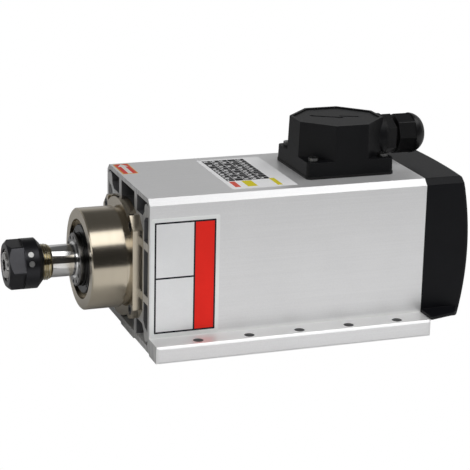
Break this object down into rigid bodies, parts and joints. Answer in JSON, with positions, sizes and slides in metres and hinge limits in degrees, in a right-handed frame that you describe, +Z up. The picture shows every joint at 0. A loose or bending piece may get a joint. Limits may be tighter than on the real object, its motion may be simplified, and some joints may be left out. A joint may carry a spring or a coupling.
{
  "type": "motor spindle",
  "caption": "Square air-cooled motor spindle with a footed finned housing, collet nose, rear fan hood and a terminal box with a cable gland.",
  "frame": {"origin": "middle of the foot bolt pattern, on the base's mounting plane", "axes": "+X along the spindle axis from collet to fan, +Z up away from the base, so the collet points to -X"},
  "size_m": [0.3201, 0.137, 0.143],
  "materials": {
    "satin_aluminium": "satin anodised",
    "cast_aluminium": "as cast",
    "nickel_plate": "turned, nickel plated",
    "polished_steel": "polished",
    "bearing_steel": "ground",
    "black_oxide": "black oxide",
    "zinc_screws": "zinc plated",
    "lamination_steel": "stacked laminations",
    "copper_winding": "varnished copper",
    "brass_studs": "plain brass",
    "black_plastic": "moulded, fine texture",
    "black_nylon": "moulded nylon",
    "board_plastic": "moulded phenolic",
    "gasket_rubber": "moulded rubber",
    "lead_sleeve": "silicone sleeve",
    "sign_vinyl": "printed vinyl"
  },
  "bodies": {
    "spindle_housing": {"housing_extrusion": "satin_aluminium", "front_bearing_housing": "nickel_plate", "rear_end_bell": "cast_aluminium", "front_housing_screws": "black_oxide", "end_bell_screws": "black_oxide", "front_cover": "black_oxide", "front_bearing_outer": "bearing_steel", "second_bearing_outer": "bearing_steel", "outer_spacer": "bearing_steel", "rear_bearing_outer": "bearing_steel", "preload_spring": "bearing_steel", "stator_core": "lamination_steel", "front_end_winding": "copper_winding", "rear_end_winding": "copper_winding", "rear_hood": "black_plastic", "hood_screws": "zinc_screws", "terminal_box_cover": "black_plastic", "terminal_box_lid": "black_plastic", "terminal_box_gasket": "gasket_rubber", "terminal_box_screws": "black_oxide", "terminal_board": "board_plastic", "terminal_studs": "brass_studs", "motor_leads": "lead_sleeve", "gland_body": "black_nylon", "gland_washer": "gasket_rubber", "earth_screw": "zinc_screws"},
    "rotor": {"rotor_shaft": "polished_steel", "labyrinth_nut": "black_oxide", "front_bearing_inner": "bearing_steel", "second_bearing_inner": "bearing_steel", "inner_spacer": "bearing_steel", "rear_bearing_inner": "bearing_steel", "rotor_core": "lamination_steel", "rotor_end_rings": "cast_aluminium", "cooling_fan": "black_nylon", "fan_clip": "bearing_steel"},
    "collet_carrier": {"collet": "polished_steel"},
    "nut": {"collet_nut": "black_oxide", "ejector_ring": "polished_steel", "balance_screws": "polished_steel"},
    "gland_carrier": {"gland_seal": "gasket_rubber"},
    "gland_cap": {"gland_dome_nut": "black_nylon"}
  },
  "joints": [
    {"name": "spindle_spin", "type": "hinge", "parent": "spindle_housing", "child": "rotor", "pos_m": [0, 0, 0.055], "axis": [1, 0, 0], "continuous": true},
    {"name": "collet_travel", "type": "slide", "parent": "rotor", "child": "collet_carrier", "axis": [-1, 0, 0], "range_m": [0, 0.0165]},
    {"name": "nut_turn", "type": "hinge", "parent": "collet_carrier", "child": "nut", "pos_m": [0, 0, 0.055], "axis": [-1, 0, 0], "range_deg": [0, 3970]},
    {"name": "gland_travel", "type": "slide", "parent": "spindle_housing", "child": "gland_carrier", "axis": [1, 0, 0], "range_m": [0, 0.009]},
    {"name": "gland_nut_turn", "type": "hinge", "parent": "gland_carrier", "child": "gland_cap", "pos_m": [0, 0, 0.128], "axis": [1, 0, 0], "range_deg": [0, 2170]}
  ],
  "couplings": [
    {"joint": "nut_turn", "follows": "collet_travel", "rad_per_m": 4188.8},
    {"joint": "gland_nut_turn", "follows": "gland_travel", "rad_per_m": 4188.8}
  ]
}
